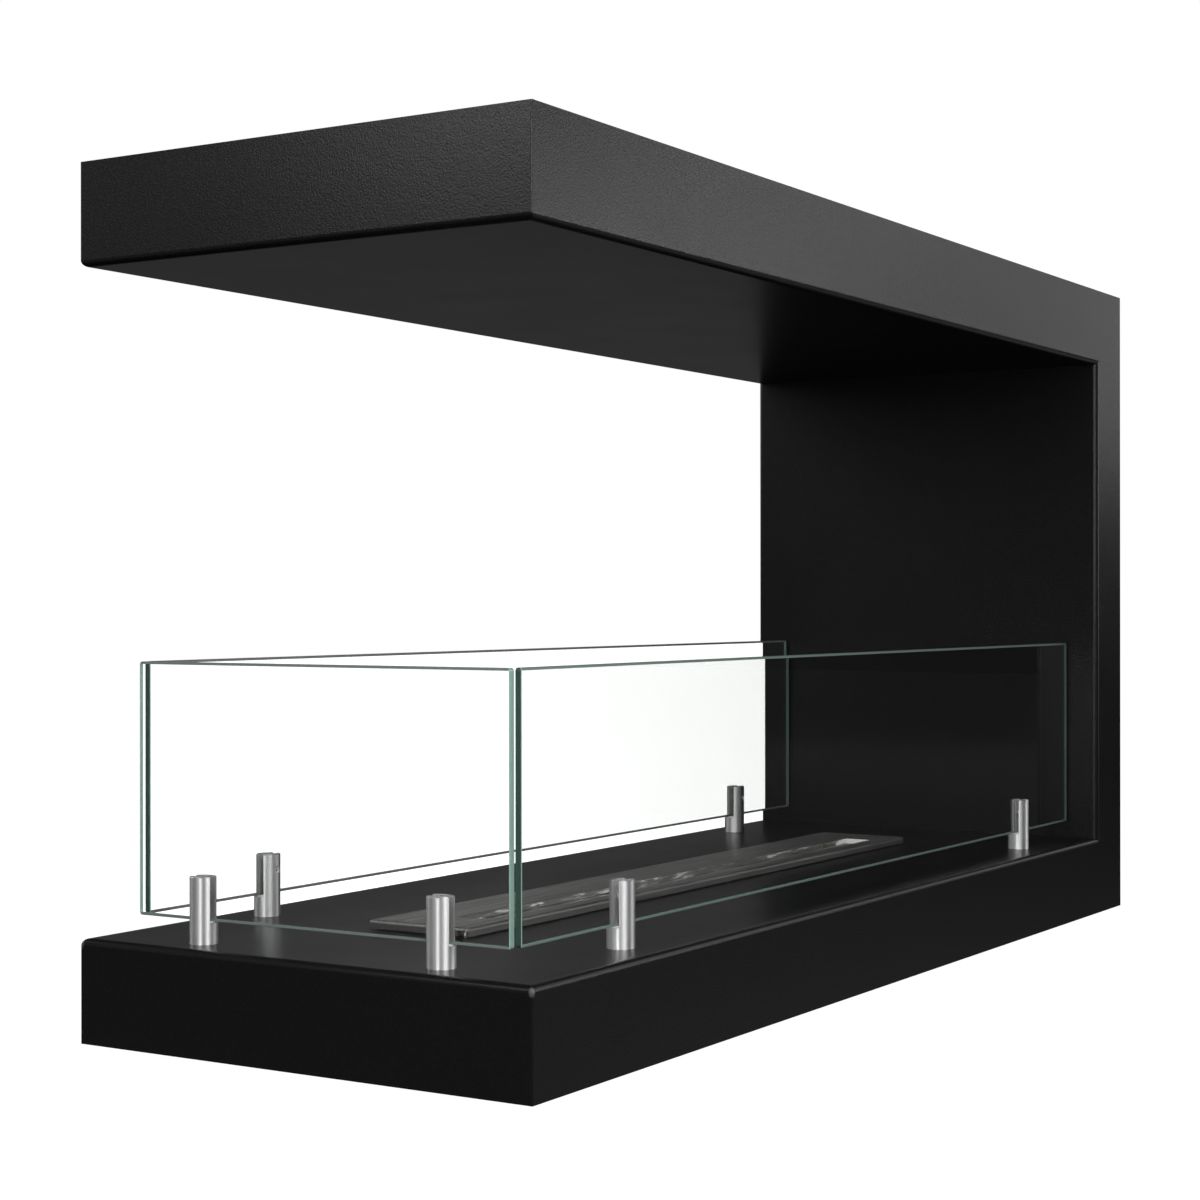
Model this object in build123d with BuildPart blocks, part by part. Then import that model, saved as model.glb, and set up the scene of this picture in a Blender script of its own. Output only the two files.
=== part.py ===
from build123d import *
import os

os.makedirs("parts", exist_ok=True)

# Bioethanol fireplace: a C-shaped housing of folded steel, open on three sides, with a slot
# burner in its base and three glass panes held in slotted posts.
# X runs from the open end to the upright, Y from front to rear, Z is up. The origin is on the
# floor under the middle of the housing. All sizes are in millimetres.

# Housing
length = 1000.0
depth = 350.0
height = 570.0
base_height = 68.0
canopy_height = 68.0
upright_width = 62.0
sheet = 2.0
fold_radius = 4.5
corner_radius = 0.8
cover_sheet = 2.0
foot_height = 3.0
foot_radius = 12.5
foot_inset = 35.0

# Inner stiffening and the fixings of the two covers
doubler_sheet = 2.5
doubler_arm = 150.0
doubler_margin = 4.0
stiffener_sheet = 1.5
stiffener_width = 80.0
stiffener_flange = 15.0
stiffener_end_gap = 12.0
tab_sheet = 2.0
tab_leg = 18.0
tab_width = 30.0
screw_radius = 2.0
screw_head_radius = 3.75
screw_length = 8.0
screw_clearance = 0.25
thread_clearance = 0.02
hex_size = 2.5
hex_depth = 1.2
tab_rows = 4
back_tab_inset = 45.0
base_tab_inset = 55.0
tab_doubler_gap = 19.0

# Threaded inserts for a wall bracket, M8
insert_spacing_y = 250.0
insert_spacing_z = 400.0
insert_bore_radius = 3.4
insert_sleeve_radius = 5.5
insert_head_radius = 6.5
insert_bulge_radius = 7.2
insert_bulge_length = 4.0
insert_length = 16.0

# Glass
glass_thickness = 4.0
glass_height = 164.0
glass_corner = 2.0
glass_arris = 0.4
side_glass_start = 31.0
wall_gap = 4.0
end_glass_margin = 30.0
glass_clearance = 0.3

# Posts that hold the glass
post_radius = 9.1
post_height = 43.0
post_chamfer = 0.5
slot_floor = 13.5
post_slot = 7.4
side_line_inset = 32.0
end_line_inset = 26.0
open_side_post_inset = 118.0
wall_side_post_inset = 111.0
end_post_inset = 52.0
seat_thickness = 1.2
seat_length = 12.0
seat_width = 6.6
post_bolt_radius = 3.0
post_bolt_depth = 9.0
post_bolt_head_radius = 5.0
post_bolt_head_height = 6.0
post_bolt_socket = 5.0
post_bolt_socket_depth = 3.0
washer_radius = 8.0
washer_thickness = 1.6
clamp_screw_radius = 2.5
clamp_screw_drop = 11.0
clamp_screw_recess = 1.1
clamp_socket = 2.5
clamp_socket_depth = 2.0
clamp_pad_radius = 2.4
clamp_pad_thickness = 1.0

# Burner
burner_length = 670.0
burner_width = 80.0
burner_from_end = 131.0
burner_rise = 6.8
burner_sheet = 1.5
burner_fold_radius = 2.2
burner_lip_gap = 1.0
corner_relief = 7.0
slot_end_margin = 40.0
slot_width = 24.0
slot_front_margin = 13.0
slot_corner = 2.0
collar_sheet = 1.0
collar_depth = 4.2
collar_recess = 0.2
tank_end_inset = 10.0
tank_side_inset = 7.0
tank_sheet = 1.2
tank_corner = 5.0
tank_bottom_radius = 3.0
well_clearance = 3.0
well_corner = 6.0
well_sheet = 1.5
well_flange = 10.0
well_floor_gap = 3.0
pad_radius = 6.0
pad_inset = 30.0
pad_side_inset = 15.0
pad_thickness = 2.2
lift_clearance = 0.3
wool_clearance = 0.6
wool_headroom = 2.0
wool_crown = 3.0

# Sliding shutter under the slot
shutter_sheet = 1.2
shutter_clearance = 0.3
shutter_front_overlap = 3.0
shutter_rear_overlap = 2.5
shutter_end_overlap = 8.0
tab_length = 30.0
tab_from_end = 25.0
tab_top_gap = 0.8
guide_sheet = 1.2
guide_foot = 7.0

# Places worked out from the sizes above
left = -length / 2
back = length / 2
half_depth = depth / 2
bottom = foot_height
top = foot_height + height
deck_top = bottom + base_height
deck_under = deck_top - sheet
canopy_under = top - canopy_height
canopy_floor = canopy_under + sheet
wall_face = back - upright_width
skirt_inner = half_depth - sheet
cover_face = back - cover_sheet
base_seam = deck_top - fold_radius
canopy_seam = canopy_under + fold_radius

side_line = half_depth - side_line_inset
end_line = left + end_line_inset
glass_shift = (post_slot - glass_thickness) / 2 - glass_clearance
glass_bottom = deck_top + slot_floor + seat_thickness + glass_clearance
glass_middle = glass_bottom + glass_height / 2
side_glass_y = side_line + glass_shift
side_glass_length = wall_face - wall_gap - left - side_glass_start
side_glass_x = wall_face - wall_gap - side_glass_length / 2
end_glass_x = end_line - glass_shift
end_glass_length = depth - 2 * end_glass_margin
end_post_reach = end_glass_length / 2 - end_post_inset
pad_reach = glass_thickness / 2 - glass_shift + glass_clearance

burner_x = left + burner_from_end + burner_length / 2
plate_top = deck_top + burner_rise
plate_under = plate_top - burner_sheet
slot_length = burner_length - 2 * slot_end_margin
slot_y = -burner_width / 2 + slot_front_margin + slot_width / 2
inner_slot_length = slot_length - 2 * collar_sheet
inner_slot_width = slot_width - 2 * collar_sheet
collar_bottom = plate_top - collar_depth
tank_length = burner_length - 2 * tank_end_inset
tank_width = burner_width - 2 * tank_side_inset
well_length = tank_length + 2 * well_clearance
well_width = tank_width + 2 * well_clearance
well_bottom = bottom + cover_sheet + well_floor_gap
well_floor = well_bottom + well_sheet
tank_bottom = well_floor + lift_clearance + pad_thickness
tank_floor = tank_bottom + tank_sheet

shutter_top = collar_bottom - shutter_clearance
shutter_bottom = shutter_top - shutter_sheet
shutter_length = inner_slot_length + 2 * shutter_end_overlap
shutter_width = inner_slot_width + shutter_front_overlap + shutter_rear_overlap
shutter_travel = inner_slot_width - shutter_sheet - 2 * shutter_clearance
shutter_front = slot_y - inner_slot_width / 2 - shutter_front_overlap + shutter_travel
shutter_y = shutter_front + shutter_width / 2
tab_y = slot_y + inner_slot_width / 2 - shutter_clearance - shutter_sheet / 2
tab_x = burner_x + inner_slot_length / 2 - tab_from_end - tab_length / 2


def save(piece, name):
    piece.part.label = name
    export_step(piece.part, f"parts/{name}.step")


# Housing skin


def c_block(inset, fold, corner, reach):
    # The C-shaped volume behind a wall of the given inset. The bottom, back and top run on by
    # reach, because the skin is open there. The edges next to the mouth of the C are the folds.
    low = bottom - reach
    high = top + reach
    far = back + reach
    near = left + inset
    wall = wall_face + inset
    deck = deck_top - inset
    ceiling = canopy_under + inset
    with BuildPart() as block:
        with BuildSketch(Plane.XZ):
            with BuildLine():
                Polyline(
                    (near, low), (far, low), (far, high), (near, high),
                    (near, ceiling), (wall, ceiling), (wall, deck), (near, deck),
                    close=True,
                )
            make_face()
        extrude(amount=half_depth - inset, both=True)

        def beside_mouth(edge):
            spot = edge.center()
            on_level = min(abs(spot.Z - deck), abs(spot.Z - ceiling)) < 0.01 and spot.X < wall - 1
            on_wall = abs(spot.X - wall) < 0.01 and deck + 1 < spot.Z < ceiling - 1
            return on_level or on_wall

        fillet(block.edges().filter_by(beside_mouth), fold)
        if corner > 0:
            ends = block.edges().filter_by(Axis.Z).filter_by(lambda edge: abs(edge.center().X - near) < 0.01)
            fillet(ends, corner)
    return block.part


with BuildPart() as housing_skin:
    add(c_block(0, fold_radius, corner_radius, 0))
    add(c_block(sheet, fold_radius - sheet, 0, 10), mode=Mode.SUBTRACT)

# Post sites: local X lies along the pane, local Y points at the burner.
side_post_places = (
    side_glass_x - side_glass_length / 2 + open_side_post_inset,
    side_glass_x + side_glass_length / 2 - wall_side_post_inset,
)
post_sites = {
    "post_front_left": Plane(
        (side_post_places[0], -side_line, deck_top), x_dir=(1, 0, 0), z_dir=(0, 0, 1)
    ),
    "post_front_right": Plane(
        (side_post_places[1], -side_line, deck_top), x_dir=(1, 0, 0), z_dir=(0, 0, 1)
    ),
    "post_rear_left": Plane(
        (side_post_places[0], side_line, deck_top), x_dir=(-1, 0, 0), z_dir=(0, 0, 1)
    ),
    "post_rear_right": Plane(
        (side_post_places[1], side_line, deck_top), x_dir=(-1, 0, 0), z_dir=(0, 0, 1)
    ),
    "post_end_front": Plane(
        (end_line, -end_post_reach, deck_top), x_dir=(0, -1, 0), z_dir=(0, 0, 1)
    ),
    "post_end_rear": Plane(
        (end_line, end_post_reach, deck_top), x_dir=(0, -1, 0), z_dir=(0, 0, 1)
    ),
}

# Base: the deck and its three skirts, with the burner's cut-out and the post holes.
with BuildPart() as base_shell:
    add(housing_skin.part)
    with BuildSketch(Plane.XZ):
        with BuildLine():
            Polyline(
                (left, bottom), (back, bottom), (back, base_seam), (wall_face, base_seam),
                (wall_face, deck_top), (left, deck_top),
                close=True,
            )
        make_face()
    extrude(amount=half_depth, both=True, mode=Mode.INTERSECT)
    with BuildSketch(Plane.XY.offset(deck_top)):
        with Locations((burner_x, 0)):
            RectangleRounded(well_length, well_width, well_corner)
    extrude(amount=-sheet, mode=Mode.SUBTRACT)
    with BuildSketch(*post_sites.values()):
        Circle(post_bolt_radius + screw_clearance)
    extrude(amount=-sheet, mode=Mode.SUBTRACT)
save(base_shell, "base_shell")

# Upright: the inner wall with its front and rear skirts, open at the back.
with BuildPart() as upright_shell:
    add(housing_skin.part)
    with BuildSketch(Plane.XZ.offset(-half_depth)):
        with Locations(((wall_face + back) / 2, (base_seam + canopy_seam) / 2)):
            Rectangle(upright_width, canopy_seam - base_seam)
    extrude(amount=depth, mode=Mode.INTERSECT)
save(upright_shell, "upright_shell")

# Canopy: the underside and its three skirts, open at the top.
with BuildPart() as canopy_shell:
    add(housing_skin.part)
    with BuildSketch(Plane.XZ):
        with BuildLine():
            Polyline(
                (left, top), (back, top), (back, canopy_seam), (wall_face, canopy_seam),
                (wall_face, canopy_under), (left, canopy_under),
                close=True,
            )
        make_face()
    extrude(amount=half_depth, both=True, mode=Mode.INTERSECT)
save(canopy_shell, "canopy_shell")

# Covers

doubler_near = wall_face + sheet + doubler_margin
doubler_start = doubler_near - doubler_arm
first_base_tab = left + base_tab_inset
last_base_tab = doubler_start - tab_doubler_gap - tab_width / 2
base_tab_step = (last_base_tab - first_base_tab) / (tab_rows - 1)
base_tab_places = [first_base_tab + row * base_tab_step for row in range(tab_rows)]
back_tab_step = (height - 2 * back_tab_inset) / (tab_rows - 1)
back_tab_heights = [bottom + back_tab_inset + row * back_tab_step for row in range(tab_rows)]
tab_reach = tab_leg / 2 + tab_sheet / 2
back_screw_seats = [
    Plane((back, side * (skirt_inner - tab_reach), rise), x_dir=(0, 1, 0), z_dir=(-1, 0, 0))
    for side in (-1, 1)
    for rise in back_tab_heights
]
base_screw_seats = [
    Plane((place, side * (skirt_inner - tab_reach), bottom), x_dir=(1, 0, 0), z_dir=(0, 0, 1))
    for side in (-1, 1)
    for place in base_tab_places
]
insert_seats = [
    Plane((back, y, (bottom + top) / 2 + z), x_dir=(0, 1, 0), z_dir=(-1, 0, 0))
    for y in (-insert_spacing_y / 2, insert_spacing_y / 2)
    for z in (-insert_spacing_z / 2, insert_spacing_z / 2)
]
screw_cone = screw_head_radius - screw_radius
insert_cone = insert_head_radius - insert_sleeve_radius


def cut_countersinks(seats, radius, head_radius):
    # Countersunk clearance holes in the cover being built; the seats point into the object.
    with BuildSketch(*seats) as cones:
        Circle(head_radius)
    extrude(cones.sketch, amount=head_radius - radius, taper=45, mode=Mode.SUBTRACT)
    with BuildSketch(*seats) as holes:
        Circle(radius)
    extrude(holes.sketch, amount=cover_sheet, mode=Mode.SUBTRACT)


with BuildPart() as canopy_top_plate:
    with BuildSketch(Plane.XY.offset(top - cover_sheet)):
        with Locations(((left + sheet + cover_face) / 2, 0)):
            Rectangle(cover_face - left - sheet, 2 * skirt_inner)
    extrude(amount=cover_sheet)
save(canopy_top_plate, "canopy_top_plate")

with BuildPart() as base_bottom_plate:
    with BuildSketch(Plane.XY.offset(bottom)):
        with Locations(((left + sheet + cover_face) / 2, 0)):
            Rectangle(cover_face - left - sheet, 2 * skirt_inner)
    extrude(amount=cover_sheet)
    cut_countersinks(base_screw_seats, screw_radius + screw_clearance, screw_head_radius + screw_clearance)
save(base_bottom_plate, "base_bottom_plate")

with BuildPart() as back_plate:
    with BuildSketch(Plane.YZ.offset(cover_face)):
        with Locations((0, (bottom + top) / 2)):
            Rectangle(2 * skirt_inner, height)
    extrude(amount=cover_sheet)
    cut_countersinks(back_screw_seats, screw_radius + screw_clearance, screw_head_radius + screw_clearance)
    cut_countersinks(insert_seats, insert_sleeve_radius, insert_head_radius)
save(back_plate, "back_plate")


def countersunk_screws(seats):
    with BuildPart() as screws:
        with BuildSketch(*seats):
            Circle(screw_head_radius)
        extrude(amount=screw_cone, taper=45)
        with BuildSketch(*seats):
            Circle(screw_radius)
        extrude(amount=screw_length)
        with BuildSketch(*seats):
            RegularPolygon(hex_size / 2, 6, major_radius=False)
        extrude(amount=hex_depth, mode=Mode.SUBTRACT)
    return screws


save(countersunk_screws(back_screw_seats), "back_plate_screws")
save(countersunk_screws(base_screw_seats), "bottom_plate_screws")

# Angle tabs welded to the skirts, one under each screw.
with BuildPart() as back_plate_tabs:
    for side in (-1, 1):
        for rise in back_tab_heights:
            with BuildSketch(Plane.XY.offset(rise - tab_width / 2)):
                with BuildLine():
                    Polyline(
                        (cover_face, side * skirt_inner),
                        (cover_face - tab_leg, side * skirt_inner),
                        (cover_face - tab_leg, side * (skirt_inner - tab_sheet)),
                        (cover_face - tab_sheet, side * (skirt_inner - tab_sheet)),
                        (cover_face - tab_sheet, side * (skirt_inner - tab_leg)),
                        (cover_face, side * (skirt_inner - tab_leg)),
                        close=True,
                    )
                make_face()
            extrude(amount=tab_width)
    with BuildSketch(*back_screw_seats):
        Circle(screw_radius + thread_clearance)
    extrude(amount=cover_sheet + tab_sheet, mode=Mode.SUBTRACT)
save(back_plate_tabs, "back_plate_tabs")

base_tab_floor = bottom + cover_sheet
with BuildPart() as bottom_plate_tabs:
    for side in (-1, 1):
        for place in base_tab_places:
            with BuildSketch(Plane.YZ.offset(place - tab_width / 2)):
                with BuildLine():
                    Polyline(
                        (side * skirt_inner, base_tab_floor),
                        (side * skirt_inner, base_tab_floor + tab_leg),
                        (side * (skirt_inner - tab_sheet), base_tab_floor + tab_leg),
                        (side * (skirt_inner - tab_sheet), base_tab_floor + tab_sheet),
                        (side * (skirt_inner - tab_leg), base_tab_floor + tab_sheet),
                        (side * (skirt_inner - tab_leg), base_tab_floor),
                        close=True,
                    )
                make_face()
            extrude(amount=tab_width)
    with BuildSketch(*base_screw_seats):
        Circle(screw_radius + thread_clearance)
    extrude(amount=cover_sheet + tab_sheet, mode=Mode.SUBTRACT)
save(bottom_plate_tabs, "bottom_plate_tabs")

# Rivet nuts in the back plate: flush head, sleeve, and the bulge that grips the sheet.
with BuildPart() as wall_inserts:
    with BuildSketch(*insert_seats):
        Circle(insert_head_radius)
    extrude(amount=insert_cone, taper=45)
    with BuildSketch(*insert_seats):
        Circle(insert_sleeve_radius)
    extrude(amount=insert_length)
    with BuildSketch(*[seat.offset(cover_sheet) for seat in insert_seats]):
        Circle(insert_bulge_radius)
    extrude(amount=insert_bulge_length)
    with BuildSketch(*insert_seats):
        Circle(insert_bore_radius)
    extrude(amount=insert_length, mode=Mode.SUBTRACT)
save(wall_inserts, "wall_inserts")

# Rubber feet, glued under the bottom plate.
with BuildPart() as rubber_feet:
    with BuildSketch(Plane.XY):
        with GridLocations(length - 2 * foot_inset, depth - 2 * foot_inset, 2, 2):
            Circle(foot_radius)
    extrude(amount=foot_height)
    chamfer(rubber_feet.edges().group_by(Axis.Z)[0], foot_height / 3)
save(rubber_feet, "rubber_feet")

# Inner stiffening

# L-shaped doubler plates, welded over the seams between the upright and the two arms of the C.
doubler_far = cover_face - tab_leg - tab_sheet
doubler_top = top - cover_sheet - doubler_margin
doubler_low = bottom + cover_sheet + doubler_margin
doubler_ceiling = canopy_floor + doubler_margin
doubler_deck = deck_under - doubler_margin
with BuildPart() as corner_doublers:
    for side in (-1, 1):
        for edge, turn, reach in (
            (doubler_top, doubler_ceiling, doubler_ceiling - doubler_arm),
            (doubler_low, doubler_deck, doubler_deck + doubler_arm),
        ):
            with BuildSketch(Plane.XZ.offset(-side * skirt_inner)):
                with BuildLine():
                    Polyline(
                        (doubler_far, edge), (doubler_start, edge),
                        (doubler_start, turn), (doubler_near, turn),
                        (doubler_near, reach), (doubler_far, reach),
                        close=True,
                    )
                make_face()
            extrude(amount=side * doubler_sheet)
save(corner_doublers, "corner_doublers")

# Hat channel that carries the long canopy, between its underside and its top plate.
stiffener_height = top - cover_sheet - canopy_floor
stiffener_start = left + sheet + stiffener_end_gap
with BuildPart() as canopy_stiffener:
    with BuildSketch(Plane.YZ.offset(stiffener_start)):
        with BuildLine():
            Polyline(
                (0, canopy_floor + stiffener_height),
                (stiffener_width / 2, canopy_floor + stiffener_height),
                (stiffener_width / 2, canopy_floor + stiffener_sheet),
                (stiffener_width / 2 + stiffener_flange, canopy_floor + stiffener_sheet),
                (stiffener_width / 2 + stiffener_flange, canopy_floor),
                (stiffener_width / 2 - stiffener_sheet, canopy_floor),
                (stiffener_width / 2 - stiffener_sheet, canopy_floor + stiffener_height - stiffener_sheet),
                (0, canopy_floor + stiffener_height - stiffener_sheet),
                close=True,
            )
        make_face()
        mirror(about=Plane.YZ)
    extrude(amount=wall_face - stiffener_start)
save(canopy_stiffener, "canopy_stiffener")

# Well: the tray hung under the deck, which the burner stands in.
with BuildPart() as burner_well:
    with BuildSketch(Plane.XY.offset(deck_under)):
        with Locations((burner_x, 0)):
            RectangleRounded(
                well_length + 2 * well_sheet + 2 * well_flange,
                well_width + 2 * well_sheet + 2 * well_flange,
                well_corner,
            )
    extrude(amount=-well_sheet)
    with BuildSketch(Plane.XY.offset(deck_under)):
        with Locations((burner_x, 0)):
            RectangleRounded(
                well_length + 2 * well_sheet, well_width + 2 * well_sheet, well_corner + well_sheet
            )
    extrude(amount=well_bottom - deck_under)
    with BuildSketch(Plane.XY.offset(deck_under)):
        with Locations((burner_x, 0)):
            RectangleRounded(well_length, well_width, well_corner)
    extrude(amount=well_floor - deck_under, mode=Mode.SUBTRACT)
save(burner_well, "burner_well")

# Posts


def clamp_plane(site, reach):
    # Square to the pane, at the clamp screw's height, reach from the middle of the slot.
    origin = site.from_local_coords((0, reach, post_height - clamp_screw_drop))
    return Plane(origin, x_dir=site.x_dir, z_dir=site.y_dir)


def glass_post(site):
    with BuildPart() as post:
        with BuildSketch(site):
            Circle(post_radius)
        extrude(amount=post_height)
        chamfer(post.edges().group_by(Axis.Z)[-1], post_chamfer)
        with BuildSketch(site.offset(post_height)):
            Rectangle(3 * post_radius, post_slot)
        extrude(amount=slot_floor - post_height, mode=Mode.SUBTRACT)
        with BuildSketch(site):
            Circle(post_bolt_radius + thread_clearance)
        extrude(amount=post_bolt_depth, mode=Mode.SUBTRACT)
        with BuildSketch(clamp_plane(site, post_slot / 2)):
            Circle(clamp_screw_radius + thread_clearance)
        extrude(amount=post_radius, mode=Mode.SUBTRACT)
    return post


for name, site in post_sites.items():
    save(glass_post(site), name)

# Cap screws that hold the posts from inside the base, each over a washer.
bolt_seats = [site.offset(-sheet) for site in post_sites.values()]
head_seats = [seat.offset(-washer_thickness) for seat in bolt_seats]
with BuildPart() as post_bolts:
    with BuildSketch(*head_seats):
        Circle(post_bolt_radius)
    extrude(amount=washer_thickness + sheet + post_bolt_depth - 1)
    with BuildSketch(*head_seats):
        Circle(post_bolt_head_radius)
    extrude(amount=-post_bolt_head_height)
    with BuildSketch(*[seat.offset(-post_bolt_head_height) for seat in head_seats]):
        RegularPolygon(post_bolt_socket / 2, 6, major_radius=False)
    extrude(amount=post_bolt_socket_depth, mode=Mode.SUBTRACT)
save(post_bolts, "post_bolts")

with BuildPart() as post_washers:
    with BuildSketch(*bolt_seats):
        Circle(washer_radius)
        Circle(post_bolt_radius + screw_clearance, mode=Mode.SUBTRACT)
    extrude(amount=-washer_thickness)
save(post_washers, "post_washers")

# Set screws on the burner side of each post. Each pushes a soft pad against the glass, which
# presses it to the slot's outer wall.
pad_planes = [clamp_plane(site, pad_reach) for site in post_sites.values()]
screw_planes = [clamp_plane(site, pad_reach + clamp_pad_thickness) for site in post_sites.values()]
clamp_screw_length = post_radius - pad_reach - clamp_pad_thickness - clamp_screw_recess
with BuildPart() as clamp_screws:
    with BuildSketch(*screw_planes):
        Circle(clamp_screw_radius)
    extrude(amount=clamp_screw_length)
    with BuildSketch(*[plane.offset(clamp_screw_length) for plane in screw_planes]):
        RegularPolygon(clamp_socket / 2, 6, major_radius=False)
    extrude(amount=-clamp_socket_depth, mode=Mode.SUBTRACT)
save(clamp_screws, "clamp_screws")

with BuildPart() as clamp_pads:
    with BuildSketch(*pad_planes):
        Circle(clamp_pad_radius)
    extrude(amount=clamp_pad_thickness)
save(clamp_pads, "clamp_pads")

# Seats on the slot floors, on which the panes stand.
with BuildPart() as glass_seats:
    with BuildSketch(*[site.offset(slot_floor) for site in post_sites.values()]):
        Rectangle(seat_length, seat_width)
    extrude(amount=seat_thickness)
save(glass_seats, "glass_seats")

# Glass


def glass_pane(middle, pane_length):
    # A pane with softened corners and ground edges; the plane stands upright in its middle.
    with BuildPart() as pane:
        with BuildSketch(middle):
            RectangleRounded(pane_length, glass_height, glass_corner)
        extrude(amount=glass_thickness / 2, both=True)
        chamfer(pane.faces().sort_by(SortBy.AREA)[-2:].edges(), glass_arris)
    return pane


front_middle = Plane((side_glass_x, -side_glass_y, glass_middle), x_dir=(1, 0, 0), z_dir=(0, -1, 0))
rear_middle = Plane((side_glass_x, side_glass_y, glass_middle), x_dir=(1, 0, 0), z_dir=(0, -1, 0))
end_middle = Plane((end_glass_x, 0, glass_middle), x_dir=(0, -1, 0), z_dir=(-1, 0, 0))
save(glass_pane(front_middle, side_glass_length), "front_glass")
save(glass_pane(rear_middle, side_glass_length), "rear_glass")
save(glass_pane(end_middle, end_glass_length), "end_glass")

# Burner

lip_bottom = deck_top + burner_lip_gap
lip_height = plate_top - lip_bottom

# Top plate: folded down all round, with relief notches at the front corners and the slot.
with BuildPart() as burner_top_plate:
    with BuildSketch(Plane.XY.offset(lip_bottom)):
        with Locations((burner_x, 0)):
            Rectangle(burner_length, burner_width)
    extrude(amount=lip_height)
    fillet(burner_top_plate.edges().group_by(Axis.Z)[-1], burner_fold_radius)
    with BuildSketch(Plane.XY.offset(lip_bottom)):
        with Locations((burner_x, 0)):
            Rectangle(burner_length - 2 * burner_sheet, burner_width - 2 * burner_sheet)
    extrude(amount=lip_height - burner_sheet, mode=Mode.SUBTRACT)
    with BuildSketch(Plane.XY.offset(lip_bottom)):
        with Locations(
            (burner_x - burner_length / 2, -burner_width / 2 + burner_sheet + corner_relief / 2),
            (burner_x + burner_length / 2, -burner_width / 2 + burner_sheet + corner_relief / 2),
        ):
            Rectangle(2 * burner_sheet, corner_relief)
    extrude(amount=lip_height - burner_fold_radius, mode=Mode.SUBTRACT)
    with BuildSketch(Plane.XY.offset(plate_top)):
        with Locations((burner_x, slot_y)):
            RectangleRounded(slot_length, slot_width, slot_corner)
    extrude(amount=-burner_sheet, mode=Mode.SUBTRACT)
save(burner_top_plate, "burner_top_plate")

# Collar that lines the slot.
with BuildPart() as slot_collar:
    with BuildSketch(Plane.XY.offset(collar_bottom)):
        with Locations((burner_x, slot_y)):
            RectangleRounded(slot_length, slot_width, slot_corner)
            RectangleRounded(
                inner_slot_length, inner_slot_width, slot_corner - collar_sheet, mode=Mode.SUBTRACT
            )
    extrude(amount=collar_depth - collar_recess)
save(slot_collar, "slot_collar")

# Tank: a drawn trough, open at the top, welded to the underside of the top plate.
with BuildPart() as burner_tank:
    with BuildSketch(Plane.XY.offset(tank_bottom)):
        with Locations((burner_x, 0)):
            RectangleRounded(tank_length, tank_width, tank_corner)
    extrude(amount=plate_under - tank_bottom)
    fillet(burner_tank.edges().group_by(Axis.Z)[0], tank_bottom_radius)
    offset(amount=-tank_sheet, openings=burner_tank.faces().sort_by(Axis.Z)[-1])
save(burner_tank, "burner_tank")

# Fuel-soaked ceramic wool: two crowned pads side by side, with the crease between them.
guide_floor = shutter_bottom - shutter_clearance - guide_sheet
wool_length = tank_length - 2 * tank_sheet - 2 * wool_clearance
wool_half = tank_width / 2 - tank_sheet - wool_clearance
wool_side = guide_floor - wool_headroom - wool_crown
with BuildPart() as ceramic_wool:
    with BuildSketch(Plane.YZ.offset(burner_x - wool_length / 2)):
        with BuildLine():
            Polyline((0, wool_side), (0, tank_floor), (wool_half, tank_floor), (wool_half, wool_side))
            ThreePointArc((wool_half, wool_side), (wool_half / 2, wool_side + wool_crown), (0, wool_side))
        make_face()
        mirror(about=Plane.YZ)
    extrude(amount=wool_length)
    fillet(ceramic_wool.edges().filter_by(Axis.Z), tank_corner - tank_sheet)
    fillet(ceramic_wool.edges().group_by(Axis.Z)[0], tank_bottom_radius - tank_sheet)
save(ceramic_wool, "ceramic_wool")

with BuildPart() as burner_pads:
    with BuildSketch(Plane.XY.offset(tank_bottom)):
        with Locations((burner_x, 0)):
            with GridLocations(tank_length / 2 - pad_inset, tank_width - 2 * pad_side_inset, 3, 2):
                Circle(pad_radius)
    extrude(amount=-pad_thickness)
save(burner_pads, "burner_pads")

# Shutter: slides forward under the collar to close the slot and put the flame out.
with BuildPart() as shutter_plate:
    with BuildSketch(Plane.XY.offset(shutter_bottom)):
        with Locations((burner_x, shutter_y)):
            Rectangle(shutter_length, shutter_width)
    extrude(amount=shutter_sheet)
save(shutter_plate, "shutter_plate")

with BuildPart() as shutter_tab:
    with BuildSketch(Plane.XY.offset(shutter_top)):
        with Locations((tab_x, tab_y)):
            Rectangle(tab_length, shutter_sheet)
    extrude(amount=plate_top - tab_top_gap - shutter_top)
save(shutter_tab, "shutter_tab")

# Angle guides under the top plate that carry the shutter's two ends.
guide_outer = shutter_length / 2 + shutter_clearance + guide_sheet
guide_width = tank_width - 2 * tank_sheet - 2 * wool_clearance
with BuildPart() as shutter_guides:
    for side in (-1, 1):
        with BuildSketch(Plane.XZ.offset(-guide_width / 2)):
            with BuildLine():
                Polyline(
                    (burner_x + side * guide_outer, plate_under),
                    (burner_x + side * guide_outer, guide_floor),
                    (burner_x + side * (guide_outer - guide_sheet - guide_foot), guide_floor),
                    (burner_x + side * (guide_outer - guide_sheet - guide_foot), guide_floor + guide_sheet),
                    (burner_x + side * (guide_outer - guide_sheet), guide_floor + guide_sheet),
                    (burner_x + side * (guide_outer - guide_sheet), plate_under),
                    close=True,
                )
            make_face()
        extrude(amount=guide_width)
save(shutter_guides, "shutter_guides")
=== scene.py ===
from math import pi
import bmesh
import bpy
from mathutils import Matrix, Vector, noise


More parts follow.
